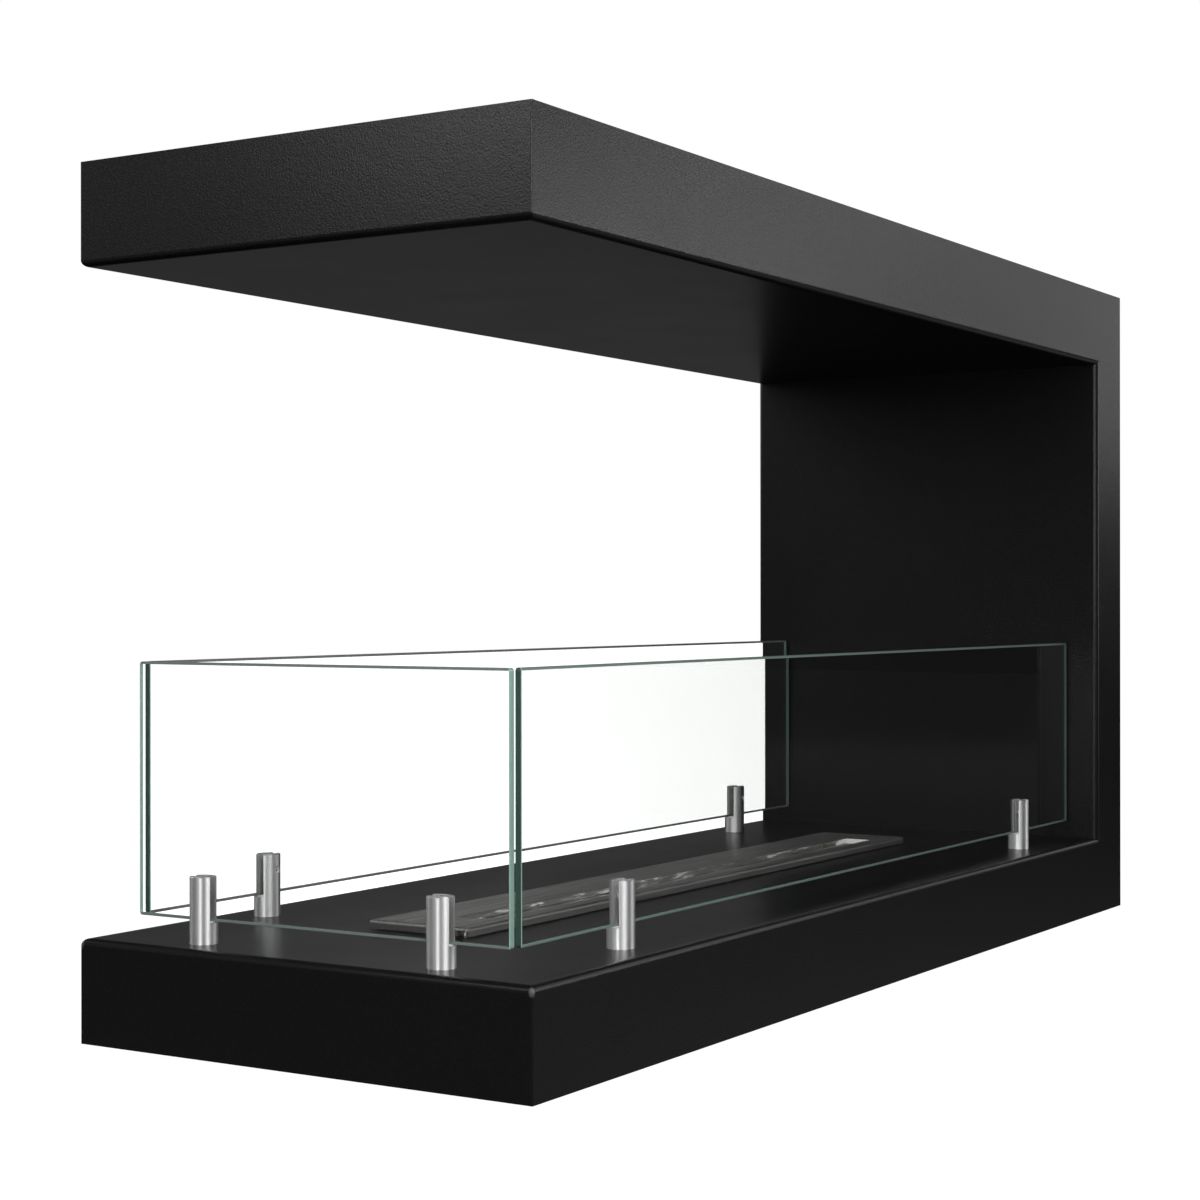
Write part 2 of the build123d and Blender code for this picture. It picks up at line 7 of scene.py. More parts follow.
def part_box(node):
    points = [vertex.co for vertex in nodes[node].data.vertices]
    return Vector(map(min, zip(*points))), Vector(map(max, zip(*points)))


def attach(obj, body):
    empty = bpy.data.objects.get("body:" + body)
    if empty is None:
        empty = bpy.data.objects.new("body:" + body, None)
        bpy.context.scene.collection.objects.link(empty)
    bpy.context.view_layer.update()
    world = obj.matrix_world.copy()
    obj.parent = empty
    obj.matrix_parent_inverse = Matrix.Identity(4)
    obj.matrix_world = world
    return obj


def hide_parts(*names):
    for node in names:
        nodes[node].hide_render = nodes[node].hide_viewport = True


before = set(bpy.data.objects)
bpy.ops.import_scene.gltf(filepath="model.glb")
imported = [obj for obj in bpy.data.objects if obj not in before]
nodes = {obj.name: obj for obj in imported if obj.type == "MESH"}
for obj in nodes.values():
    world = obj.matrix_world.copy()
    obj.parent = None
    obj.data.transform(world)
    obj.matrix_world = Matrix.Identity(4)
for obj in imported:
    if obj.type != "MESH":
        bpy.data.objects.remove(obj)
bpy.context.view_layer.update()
print("loaded", len(nodes), "nodes of the packed model")


def linearColour(hexCode):
    # an sRGB hex value as the linear RGBA that a socket takes
    parts = [int(hexCode[i:i + 2], 16) / 255 for i in (0, 2, 4)]
    return [c / 12.92 if c <= 0.04045 else ((c + 0.055) / 1.055) ** 2.4 for c in parts] + [1.0]


def addNode(tree, kind, inputs=None, **settings):
    # inputs takes a plain value or another node's output; settings are the node's own properties
    node = tree.nodes.new(kind)
    for name, value in settings.items():
        setattr(node, name, value)
    for name, value in (inputs or {}).items():
        if isinstance(value, bpy.types.NodeSocket):
            tree.links.new(value, node.inputs[name])
        else:
            node.inputs[name].default_value = value
    return node


def newMaterial(name):
    material = bpy.data.materials.new(name)
    material.use_nodes = True
    material.node_tree.nodes.clear()
    return material, material.node_tree


def finishMaterial(tree, surface):
    addNode(tree, "ShaderNodeOutputMaterial", {"Surface": surface})


def paint(material, *names):
    for name in names:
        nodes[name].material_slots[0].material = material


def objectCoords(tree, repeatMm=(1000, 1000, 1000)):
    # object coordinates: in metres as they are, or one unit for each repeat of a pattern
    coords = addNode(tree, "ShaderNodeTexCoord")
    scale = [1000 / size for size in repeatMm]
    mapping = addNode(tree, "ShaderNodeMapping", {"Vector": coords.outputs["Object"], "Scale": scale})
    return mapping.outputs[0]


def steepness(tree):
    # 0 on level faces, 1 on upright ones
    coords = addNode(tree, "ShaderNodeTexCoord")
    normal = addNode(tree, "ShaderNodeSeparateXYZ", {"Vector": coords.outputs["Normal"]})
    level = addNode(tree, "ShaderNodeMath", {0: normal.outputs["Z"]}, operation="ABSOLUTE")
    return addNode(tree, "ShaderNodeMath", {0: 1.0, 1: level.outputs[0]}, operation="SUBTRACT").outputs[0]


def between(span):
    # where a map range starts and ends
    low, high = span
    return {"From Min": low, "From Max": high}


def spreadOf(spec):
    # the least and the most rough that a surface gets
    half = spec["roughnessSpread"] / 2
    return {"To Min": spec["roughness"] - half, "To Max": spec["roughness"] + half}


noiseSpan = (0.3, 0.7)  # nearly all values of a noise lie between these

# Black powder coat, fine texture: polyester powder baked on folded steel, a satin skin of tiny pebbles
powderCoat = {
    "colour": "080809",
    "pebbleSheenColour": "121213",  # painted sheen: the tops of the pebbles coloured paler, as if catching the light
    "roughness": 0.288,
    "roughnessSpread": 0.02,
    "gloss": 0.25,  # the fine texture scatters about half of a smooth coat's shine
    "pebbleMm": 1.2,  # real pebbles are about 0.4 mm, drawn as coarse as they need to show
    "pebbleHeightMm": 0.16,
    "peelMm": 6,  # the faint orange peel that the melted powder sets in
    "peelHeightMm": 0.03,
    "cloudMm": 60,  # slow changes of film thickness
    "cornerHighlightColour": "5a595c",  # pale at the weld where three folds of the base meet: a painted highlight
    "spotAt": (-0.4988, 0.1738, 0.0672),  # the same at the front and the rear
    "spotMm": 2.2,
    "spotSquash": (1, 1, 0.55),  # less than 1 makes it longer that way
}


def makePowderCoat(name, spec):
    material, tree = newMaterial(name)
    pebbles = addNode(tree, "ShaderNodeTexNoise", {
        "Vector": objectCoords(tree, [spec["pebbleMm"]] * 3), "Scale": 1.0, "Detail": 1.5, "Roughness": 0.6,
    })
    peel = addNode(tree, "ShaderNodeTexNoise", {
        "Vector": objectCoords(tree, [spec["peelMm"]] * 3), "Scale": 1.0, "Detail": 1.0,
    })
    clouds = addNode(tree, "ShaderNodeTexNoise", {
        "Vector": objectCoords(tree, [spec["cloudMm"]] * 3), "Scale": 1.0, "Detail": 2.0,
    })
    roughness = addNode(tree, "ShaderNodeMapRange", {
        "Value": clouds.outputs["Fac"], **between(noiseSpan), **spreadOf(spec),
    })
    steep = steepness(tree)  # powder levels out where it lies flat in the oven
    waves = addNode(tree, "ShaderNodeBump", {
        "Height": peel.outputs["Fac"], "Strength": steep, "Distance": spec["peelHeightMm"] / 1000,
    })
    bump = addNode(tree, "ShaderNodeBump", {
        "Height": pebbles.outputs["Fac"],
        "Strength": steep,
        "Distance": spec["pebbleHeightMm"] / 1000,
        "Normal": waves.outputs[0],
    })
    # painted sheen: the higher a pebble, the paler its colour
    sheenOnPebbles = addNode(tree, "ShaderNodeMapRange", {"Value": pebbles.outputs["Fac"], **between(noiseSpan)})
    colour = addNode(tree, "ShaderNodeMix", {
        "Factor": sheenOnPebbles.outputs[0], "A": linearColour(spec["colour"]), "B": linearColour(spec["pebbleSheenColour"]),
    }, data_type="RGBA")
    shader = addNode(tree, "ShaderNodeBsdfPrincipled", {
        "Base Color": mixPaintedCornerHighlight(tree, spec, colour.outputs["Result"]),
        "Roughness": roughness.outputs[0],
        "Specular IOR Level": spec["gloss"],
        "Normal": bump.outputs[0],
    })
    finishMaterial(tree, shader.outputs[0])
    return material


def mixPaintedCornerHighlight(tree, spec, colour):
    # a painted highlight: a pale spot in the coat's colour at the weld where three folds meet, only at the
    # open end
    here = objectCoords(tree)
    eitherSide = addNode(tree, "ShaderNodeVectorMath", {0: here}, operation="ABSOLUTE")
    offset = addNode(tree, "ShaderNodeVectorMath", {
        0: eitherSide.outputs[0], 1: [abs(c) for c in spec["spotAt"]],
    }, operation="SUBTRACT")
    stretched = addNode(tree, "ShaderNodeVectorMath", {
        0: offset.outputs[0], 1: spec["spotSquash"],
    }, operation="MULTIPLY")
    away = addNode(tree, "ShaderNodeVectorMath", {0: stretched.outputs[0]}, operation="LENGTH")
    parts = addNode(tree, "ShaderNodeSeparateXYZ", {"Vector": here})
    openHalf = addNode(tree, "ShaderNodeMath", {0: parts.outputs["X"], 1: 0.0}, operation="LESS_THAN")
    radius = spec["spotMm"] / 1000
    spot = addNode(tree, "ShaderNodeMapRange", {
        "Value": away.outputs["Value"],
        **between((radius / 2, radius)),
        "To Min": openHalf.outputs[0],
        "To Max": 0.0,
    }, interpolation_type="SMOOTHSTEP")
    # the painted corner highlight mixed into the coat's colour
    mixed = addNode(tree, "ShaderNodeMix", {
        "Factor": spot.outputs[0], "A": colour, "B": linearColour(spec["cornerHighlightColour"]),
    }, data_type="RGBA")
    return mixed.outputs["Result"]


# Stainless and zinc-plated steel: metals that keep the default IOR, told apart by how their surface was made
def makeSteel(name, spec, post=None):
    material, tree = newMaterial(name)
    lines = addNode(tree, "ShaderNodeTexNoise", {
        "Vector": objectCoords(tree, spec["grainMm"]), "Scale": 1.0, "Detail": 3.0, "Roughness": 0.6,
    })
    roughness = addNode(tree, "ShaderNodeMapRange", {
        "Value": lines.outputs["Fac"], **between(noiseSpan), **spreadOf(spec),
    })
    bump = addNode(tree, "ShaderNodeBump", {
        "Height": lines.outputs["Fac"], "Strength": 1.0, "Distance": spec["grainHeightMm"] / 1000,
    })
    inputs = {
        "Base Color": linearColour(spec["colour"]),
        "Metallic": 1.0,
        "Roughness": roughness.outputs[0],
        "Normal": bump.outputs[0],
    }
    if "streakMm" in spec:
        inputs["Base Color"] = streaksAndLipShade(tree, spec)
    if "glintMm" in spec:
        inputs["Base Color"], inputs["Metallic"] = paintedSlotGlints(tree, spec)
    if "anisotropy" in spec:
        tangent = addNode(tree, "ShaderNodeTangent", direction_type="RADIAL", axis=spec["around"])
        inputs["Tangent"] = tangent.outputs[0]
        inputs["Anisotropic"] = spec["anisotropy"]
        inputs["Anisotropic Rotation"] = 0.25  # a quarter turn, across the rings
    shader = addNode(tree, "ShaderNodeBsdfPrincipled", inputs)
    if post:
        shader = mixMilledFaces(tree, spec, post, shader)
    finishMaterial(tree, shader.outputs[0])
    return material


def streaksAndLipShade(tree, spec):
    # streaks along the sheet, and painted shade: one darker colour on the folded-down lips
    streaks = addNode(tree, "ShaderNodeTexNoise", {
        "Vector": objectCoords(tree, spec["streakMm"]), "Scale": 1.0, "Detail": 4.0, "Roughness": 0.7,
    })
    share = addNode(tree, "ShaderNodeMapRange", {
        "Value": streaks.outputs["Fac"], **between(spec["streakSpan"]),
    })
    level = addNode(tree, "ShaderNodeMix", {
        "Factor": share.outputs[0],
        "A": linearColour(spec["colour"]),
        "B": linearColour(spec["streakColour"]),
    }, data_type="RGBA")
    # painted shade: upright faces, the folded lips, take the darker lip colour
    shadedLips = addNode(tree, "ShaderNodeMix", {
        "Factor": steepness(tree), "A": level.outputs["Result"], "B": linearColour(spec["lipShadeColour"]),
    }, data_type="RGBA")
    return shadedLips.outputs["Result"]


def paintedSlotGlints(tree, spec):
    # painted glints: scattered white flecks that close up into a painted highlight at one end; where they
    # lie, the steel is no metal
    patches = addNode(tree, "ShaderNodeTexNoise", {
        "Vector": objectCoords(tree, spec["glintMm"]), "Scale": 1.0, "Detail": 4.0, "Roughness": 0.7,
    })
    here = addNode(tree, "ShaderNodeSeparateXYZ", {"Vector": objectCoords(tree)})
    farEndHighlight = addNode(tree, "ShaderNodeMapRange", {
        "Value": here.outputs["X"],
        **between(spec["farEndHighlightSpan"]),
        "To Min": 0.0,
        "To Max": spec["farEndHighlightShare"],
    })
    # painted glints, closing up into the painted highlight at the slot's far end
    glintField = addNode(tree, "ShaderNodeMath", {0: patches.outputs["Fac"], 1: farEndHighlight.outputs[0]}, operation="ADD")
    glintMask = addNode(tree, "ShaderNodeMapRange", {"Value": glintField.outputs[0], **between(spec["glintSpan"])})
    colour = addNode(tree, "ShaderNodeMix", {
        "Factor": glintMask.outputs[0], "A": linearColour(spec["colour"]), "B": linearColour(spec["glintColour"]),
    }, data_type="RGBA")
    clean = addNode(tree, "ShaderNodeMath", {0: 1.0, 1: glintMask.outputs[0]}, operation="SUBTRACT")
    return colour.outputs["Result"], clean.outputs[0]


def mixMilledFaces(tree, spec, post, turned):
    # the upright faces inside the post's own radius are the slot's, left dull by the milling cutter
    low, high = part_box(post)
    middle = (low + high) / 2
    coords = addNode(tree, "ShaderNodeTexCoord")
    flat = addNode(tree, "ShaderNodeMapping", {
        "Vector": coords.outputs["Object"], "Location": (-middle.x, -middle.y, 0), "Scale": (1, 1, 0),
    })
    fromAxis = addNode(tree, "ShaderNodeVectorMath", {0: flat.outputs[0]}, operation="LENGTH")
    inside = addNode(tree, "ShaderNodeMath", {
        0: fromAxis.outputs["Value"], 1: (high.x - low.x) / 2 - spec["skinMm"] / 1000,
    }, operation="LESS_THAN")
    upright = addNode(tree, "ShaderNodeMath", {
        0: steepness(tree), 1: spec["steepFrom"],
    }, operation="GREATER_THAN")
    slotFace = addNode(tree, "ShaderNodeMath", {
        0: inside.outputs[0], 1: upright.outputs[0],
    }, operation="MULTIPLY")
    marks = addNode(tree, "ShaderNodeTexNoise", {
        "Vector": objectCoords(tree, spec["milledMm"]), "Scale": 1.0, "Detail": 2.0,
    })
    bump = addNode(tree, "ShaderNodeBump", {
        "Height": marks.outputs["Fac"], "Strength": 1.0, "Distance": spec["milledHeightMm"] / 1000,
    })
    milled = addNode(tree, "ShaderNodeBsdfPrincipled", {
        "Base Color": linearColour(spec["milledColour"]),
        "Metallic": spec["milledMetallic"],
        "Roughness": spec["milledRoughness"],
        "Normal": bump.outputs[0],
    })
    return addNode(tree, "ShaderNodeMixShader", {
        0: slotFace.outputs[0], 1: turned.outputs[0], 2: milled.outputs[0],
    })


turnedStainless = {  # bar turned on a lathe: rings around Z, so lights draw upright bands
    "colour": "e1e1e2",
    "roughness": 0.46,
    "roughnessSpread": 0.03,
    "grainMm": (90, 90, 0.6),
    "grainHeightMm": 0.0,  # rings finer than a pixel: the anisotropy alone draws them
    "anisotropy": 0.7,
    "around": "Z",
    "skinMm": 0.3,  # this close to the bar's radius a face is still the turned one
    "steepFrom": 0.7,  # steeper than a chamfer
    "milledColour": "8f8f8f",
    "milledMetallic": 0.35,
    "milledRoughness": 0.55,
    "milledMm": (1.6, 1.6, 2.4),
    "milledHeightMm": 0.05,
}
coldRolled = {  # bright sheet straight from the mill, with faint rolling lines along its length
    "colour": "c4c2be",
    "roughness": 0.27,
    "roughnessSpread": 0.1,
    "grainMm": (60, 2.5, 2.5),
    "grainHeightMm": 0.02,
}
slotSteel = {  # the same sheet round the flame, dulled by heat, with painted white glints along the slot and a painted highlight at its far end
    "colour": "a9a8a7",
    "roughness": 0.36,
    "roughnessSpread": 0.12,
    "grainMm": (30, 1.6, 1.6),
    "grainHeightMm": 0.03,
    "glintMm": (22, 2.6, 2.6),
    "glintSpan": (0.52, 0.66),
    "glintColour": "ececeb",
    "farEndHighlightSpan": (0.232, 0.252),  # the far end of the slot gets a painted white highlight
    "farEndHighlightShare": 0.3,
}
burnerSteel = {  # brushed along its length, darkened by heat in streaks
    "colour": "dcdbda",
    "roughness": 0.38,
    "roughnessSpread": 0.16,
    "grainMm": (70, 1.6, 1.6),
    "grainHeightMm": 0.03,
    "streakMm": (60, 1.8, 1.8),
    "streakSpan": (0.35, 0.65),
    "streakColour": "a3a2a1",
    "lipShadeColour": "767574",  # painted shade on its folded lips
}
zincPlate = {  # electroplated fixings, faintly cloudy
    "colour": "b9bbba",
    "roughness": 0.35,
    "roughnessSpread": 0.1,
    "grainMm": (1.5, 1.5, 1.5),
    "grainHeightMm": 0.01,
}

# Float glass, 4 mm: clear through its faces, sea green where light runs along it, with ground corners
floatGlass = {
    "colour": "fdfefd",
    "ior": 1.52,
    "gloss": 0.06,  # coated against glare: the photograph shows next to no reflection in it
    "arrisMm": 1.7,  # the ground corner that shows as a line along the top and the bottom
    "endArrisMm": 1.2,  # and up the two ends
    "endArrisColour": "9dbdb0",
    "edgeRoughness": 0.35,
    "endFaceFrom": 0.5,  # how squarely a face has to look along the pane to be its end
}
panes = {
    # painted shade: the ends of the side panes, turned away from the front light, coloured dark green
    "front_glass": {"along": "X", "endLightAndShadeColour": "2c463d", "arrisColour": "6a7c75"},
    "rear_glass": {"along": "X", "endLightAndShadeColour": "2c463d", "arrisColour": "6a6f6d"},
    # painted light: the ends of the end pane, facing the front light, coloured pale
    "end_glass": {"along": "Y", "endLightAndShadeColour": "829e93", "arrisColour": "77827d"},
}


def makeFloatGlass(name, spec, pane, look):
    material, tree = newMaterial(name)
    low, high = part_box(pane)
    along = look["along"]
    coords = addNode(tree, "ShaderNodeTexCoord")
    normal = addNode(tree, "ShaderNodeSeparateXYZ", {"Vector": coords.outputs["Normal"]})
    fromMiddle = addNode(tree, "ShaderNodeMapping", {
        "Vector": coords.outputs["Object"], "Location": -(low + high) / 2,
    })
    spot = addNode(tree, "ShaderNodeSeparateXYZ", {"Vector": fromMiddle.outputs[0]})

    def isOver(value, limit):
        size = addNode(tree, "ShaderNodeMath", {0: value}, operation="ABSOLUTE").outputs[0]
        return addNode(tree, "ShaderNodeMath", {0: size, 1: limit}, operation="GREATER_THAN").outputs[0]

    reach = (high - low) / 2
    nearEnd = isOver(spot.outputs[along], reach["XYZ".index(along)] - spec["endArrisMm"] / 1000)
    nearTop = isOver(spot.outputs["Z"], reach.z - spec["arrisMm"] / 1000)
    endFace = isOver(normal.outputs[along], spec["endFaceFrom"])
    nearEdge = addNode(tree, "ShaderNodeMath", {0: nearEnd, 1: nearTop}, operation="MAXIMUM")
    corners = addNode(tree, "ShaderNodeMix", {
        "Factor": nearEnd, "A": linearColour(look["arrisColour"]), "B": linearColour(spec["endArrisColour"]),
    }, data_type="RGBA")
    # painted light and shade: the end faces take the pane's end colour, dark on the side panes, pale on the
    # end pane
    edges = addNode(tree, "ShaderNodeMix", {
        "Factor": endFace, "A": corners.outputs["Result"], "B": linearColour(look["endLightAndShadeColour"]),
    }, data_type="RGBA")
    clear = addNode(tree, "ShaderNodeBsdfPrincipled", {
        "Base Color": linearColour(spec["colour"]),
        "Roughness": 0.0,
        "IOR": spec["ior"],
        "Specular IOR Level": spec["gloss"],
        "Transmission Weight": 1.0,
    })
    ground = addNode(tree, "ShaderNodeBsdfPrincipled", {
        "Base Color": edges.outputs["Result"],
        "Roughness": spec["edgeRoughness"],
        "IOR": spec["ior"],
    })
    body = addNode(tree, "ShaderNodeMixShader", {
        0: nearEdge.outputs[0], 1: clear.outputs[0], 2: ground.outputs[0],
    })
    path = addNode(tree, "ShaderNodeLightPath")
    through = addNode(tree, "ShaderNodeBsdfTransparent", {"Color": linearColour(spec["colour"])})
    surface = addNode(tree, "ShaderNodeMixShader", {
        0: path.outputs["Is Shadow Ray"], 1: body.outputs[0], 2: through.outputs[0],
    })
    finishMaterial(tree, surface.outputs[0])
    return material


def makePlain(name, spec):
    # two shades of one colour with a fine moulded, plated or fibrous grain
    material, tree = newMaterial(name)
    grain = addNode(tree, "ShaderNodeTexNoise", {
        "Vector": objectCoords(tree, [spec["grainMm"]] * 3), "Scale": 1.0, "Detail": 2.0,
    })
    colour = addNode(tree, "ShaderNodeMix", {
        "Factor": grain.outputs["Fac"],
        "A": linearColour(spec["colour"]),
        "B": linearColour(spec["secondColour"]),
    }, data_type="RGBA")
    bump = addNode(tree, "ShaderNodeBump", {
        "Height": grain.outputs["Fac"], "Strength": 1.0, "Distance": spec["grainHeightMm"] / 1000,
    })
    shader = addNode(tree, "ShaderNodeBsdfPrincipled", {
        "Base Color": colour.outputs["Result"],
        "Metallic": spec.get("metallic", 0.0),
        "Roughness": spec["roughness"],
        "Normal": bump.outputs[0],
    })
    finishMaterial(tree, shader.outputs[0])
    return material


mouldedRubber = {
    "colour": "151515", "secondColour": "222222", "roughness": 0.7, "grainMm": 0.8, "grainHeightMm": 0.02,
}
naturalNylon = {
    "colour": "dedacb", "secondColour": "e8e5d8", "roughness": 0.45, "grainMm": 1.0, "grainHeightMm": 0.01,
}
blackZinc = {
    "colour": "232326", "secondColour": "2e2e31", "roughness": 0.4, "grainMm": 0.6, "grainHeightMm": 0.01,
    "metallic": 1.0,
}
ceramicFibre = {
    "colour": "d9d7d0", "secondColour": "f2f1ec", "roughness": 0.95, "grainMm": 2.2, "grainHeightMm": 0.5,
}

paint(
    makePowderCoat("finePowderCoat", powderCoat),
    "base_shell", "upright_shell", "canopy_shell", "canopy_top_plate", "back_plate", "base_bottom_plate",
    "back_plate_tabs", "bottom_plate_tabs", "corner_doublers", "canopy_stiffener", "burner_well",
)
postFixings = ("post_bolts", "post_washers")
for post in [name for name in nodes if name.startswith("post_") and name not in postFixings]:
    paint(makeSteel("turnedStainless_" + post, turnedStainless, post), post)
paint(makeSteel("turnedStainless", turnedStainless), "clamp_screws")
paint(
    makeSteel("coldRolledStainless", coldRolled),
    "burner_tank", "shutter_plate", "shutter_tab", "shutter_guides",
)
paint(makeSteel("heatDulledStainlessPaintedGlints", slotSteel), "slot_collar")
paint(makeSteel("heatDarkenedSteel", burnerSteel), "burner_top_plate")
paint(makeSteel("zincPlatedSteel", zincPlate), "wall_inserts", *postFixings)
for pane, look in panes.items():
    paint(makeFloatGlass("floatGlass_" + pane, floatGlass, pane, look), pane)
paint(makePlain("mouldedRubber", mouldedRubber), "rubber_feet", "burner_pads")
paint(makePlain("naturalNylon", naturalNylon), "clamp_pads", "glass_seats")
paint(makePlain("blackZinc", blackZinc), "back_plate_screws", "bottom_plate_screws")
print("painted the packed nodes")

# Ceramic wool: two batts of loose white fibre pushed side by side into the tank, crowned and uneven on top
ceramicWool = {
    "weldMm": 0.01,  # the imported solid's split corners are joined within this
    "voxelMm": 2.4,
    "hollowMm": 1.6,  # how deep the hollows between the tufts go
    "tuftMm": (16, 7, 9),
    "fineShare": 0.35,  # the part of a hollow's depth that is in finer tufts
    "fineTimes": 3.1,  # and how many times finer they are
    "crownMm": 3,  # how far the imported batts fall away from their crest
    "sinkMm": 2,  # how far below it the strands lie, down in the hollows
    "endMarginMm": 12,
    "sideMarginMm": 6,
    "tuftCount": 420,
    "tuftLengthMm": (5, 13),
    "tuftRiseMm": 1.3,
    "tuftSlant": 1.4,  # the most that a strand runs across, as a part of how far it runs along
    "tuftBend": 0.125,  # the most that its middle bows aside, as a part of its length
    "tuftStops": (0, 0.35, 0.7, 1),
    "seeds": (1.7, 9.3, 4.1),
    "strandMm": 0.28,  # a real fibre is far finer, drawn as a twist of many
}


def makeWool(spec):
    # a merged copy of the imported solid, remeshed into even faces, then worn into tufts
    bm = bmesh.new()
    bm.from_mesh(nodes["ceramic_wool"].data)
    bmesh.ops.remove_doubles(bm, verts=bm.verts, dist=spec["weldMm"] / 1000)
    mesh = bpy.data.meshes.new("looseWool")
    bm.to_mesh(mesh)
    bm.free()
    wool = bpy.data.objects.new("looseWool", mesh)
    bpy.context.scene.collection.objects.link(wool)
    remesh = wool.modifiers.new("evenFaces", "REMESH")
    remesh.mode = "VOXEL"
    remesh.voxel_size = spec["voxelMm"] / 1000
    bpy.context.view_layer.update()
    even = bpy.data.meshes.new_from_object(wool.evaluated_get(bpy.context.evaluated_depsgraph_get()))
    wool.modifiers.clear()
    wool.data = even
    bm = bmesh.new()
    bm.from_mesh(even)
    bm.normal_update()
    wearHollows(bm, spec)
    addTufts(bm, spec)
    for face in bm.faces:
        face.smooth = True
    bm.to_mesh(even)
    bm.free()
    even.materials.clear()
    even.materials.append(makePlain("ceramicFibre", ceramicFibre))
    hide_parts("ceramic_wool")
    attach(wool, "burner")


def wearHollows(bm, spec):
    for vert in bm.verts:
        place = Vector([c * 1000 / size for c, size in zip(vert.co, spec["tuftMm"])])
        coarse = noise.noise(place) * 0.5 + 0.5
        fine = noise.noise(place * spec["fineTimes"]) * 0.5 + 0.5
        share = (1 - spec["fineShare"]) * coarse + spec["fineShare"] * fine
        vert.co -= vert.normal * (spec["hollowMm"] / 1000 * share)


def addTufts(bm, spec):
    # short curled strands on the crowned top, drawn as one bevelled curve and joined to the batts
    low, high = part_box("ceramic_wool")
    curve = bpy.data.curves.new("woolStrands", "CURVE")
    curve.dimensions = "3D"
    curve.bevel_depth = spec["strandMm"] / 2000
    curve.bevel_resolution = 0
    curve.resolution_u = 3
    for i in range(spec["tuftCount"]):
        addStrand(curve, spec, low, high, i)
    strands = bpy.data.objects.new("woolStrands", curve)
    mesh = bpy.data.meshes.new_from_object(strands)
    bm.from_mesh(mesh)
    bpy.data.objects.remove(strands)
    bpy.data.meshes.remove(mesh)
    bpy.data.curves.remove(curve)


def addStrand(curve, spec, low, high, i):
    perIndex, perDraw, start = spec["seeds"]
    size, far, aside, slant, curl = [
        noise.cell(Vector((i * perIndex, k * perDraw, start))) for k in range(5)
    ]
    shortest, longest = spec["tuftLengthMm"]
    length = (shortest + (longest - shortest) * abs(size)) / 1000
    margin = spec["endMarginMm"] / 1000
    x = low.x + margin + (high.x - low.x - 2 * margin) * (far * 0.5 + 0.5)
    y = (high.y - spec["sideMarginMm"] / 1000) * aside
    fall = spec["crownMm"] / 1000 * (2 * abs(y) / high.y - 1) ** 2  # each batt crests along its middle
    crest = high.z - fall - spec["sinkMm"] / 1000
    heading = Vector((1, slant * spec["tuftSlant"], 0)).normalized()
    across = Vector((-heading.y, heading.x, 0))
    bend = length * spec["tuftBend"] * curl
    rise = spec["tuftRiseMm"] / 1000 * (0.5 + 0.5 * abs(curl))
    strand = curve.splines.new("NURBS")
    strand.points.add(len(spec["tuftStops"]) - 1)
    for point, t in zip(strand.points, spec["tuftStops"]):
        bow = 4 * t * (1 - t)  # 0 at both ends, 1 half way
        place = Vector((x, y, crest)) + heading * (length * (t - 0.5)) + across * (bend * bow)
        place.z += rise * bow
        point.co = (*place, 1)
    strand.order_u = 3
    strand.use_endpoint_u = True


makeWool(ceramicWool)
print("laid the wool in the tank")

# Floor and light. Facing is how squarely a ray looks at the backdrop, with 1 straight at it; the other spans
# are of its Z, with -1 straight down and 1 straight up.
studio = {
    "floorSize": 14.0,
    "floorColour": "6a6a6a",
    "floorGlow": 1.0,  # only for the camera's own rays, where 1 is white
    "skyGlow": 1.0,
    "behindGlass": 1.45,  # both for rays that come through the panes, which take a little from them
    "backdropAt": (0.85, 0.527, 0.0),  # behind the object as the camera sees it
    "backdropGlow": 0.12,  # what gloss sees of it
    "backdropFacing": (0.2, 0.6),
    "tableGlow": 0.09,  # and of the far table in front of it
    "tableFacing": (0.7, 0.9),
    "nearTableGlow": 0.25,  # the table close by on the other sides, seen at a slant
    "nearTableFadeIn": (-0.5, -0.3),
    "nearTableFadeOut": (-0.22, -0.12),
    "horizonSpan": (-0.02, 0.06),
    "aroundGlow": 0.36,  # what gloss sees of the room elsewhere, above the floor
    "ceilingGlow": 0.04,  # and of the room above it, for views from higher up
    "ceilingSpan": (0.25, 0.5),
}


def makeFloor(spec):
    bm = bmesh.new()
    bmesh.ops.create_grid(bm, x_segments=1, y_segments=1, size=spec["floorSize"] / 2)
    mesh = bpy.data.meshes.new("studioFloor")
    bm.to_mesh(mesh)
    bm.free()
    floor = bpy.data.objects.new("studioFloor", mesh)
    bpy.context.scene.collection.objects.link(floor)
    material, tree = newMaterial("paleFloor")
    seen = seesBackdrop(tree, spec["floorGlow"], spec["behindGlass"])
    plain = addNode(tree, "ShaderNodeBsdfDiffuse", {"Color": linearColour(spec["floorColour"])})
    glow = addNode(tree, "ShaderNodeEmission", {"Color": (1, 1, 1, 1), "Strength": seen})
    surface = addNode(tree, "ShaderNodeAddShader", {0: plain.outputs[0], 1: glow.outputs[0]})
    finishMaterial(tree, surface.outputs[0])
    mesh.materials.append(material)
    floor.visible_glossy = False  # gloss sees the world's own table instead, which has no far edge


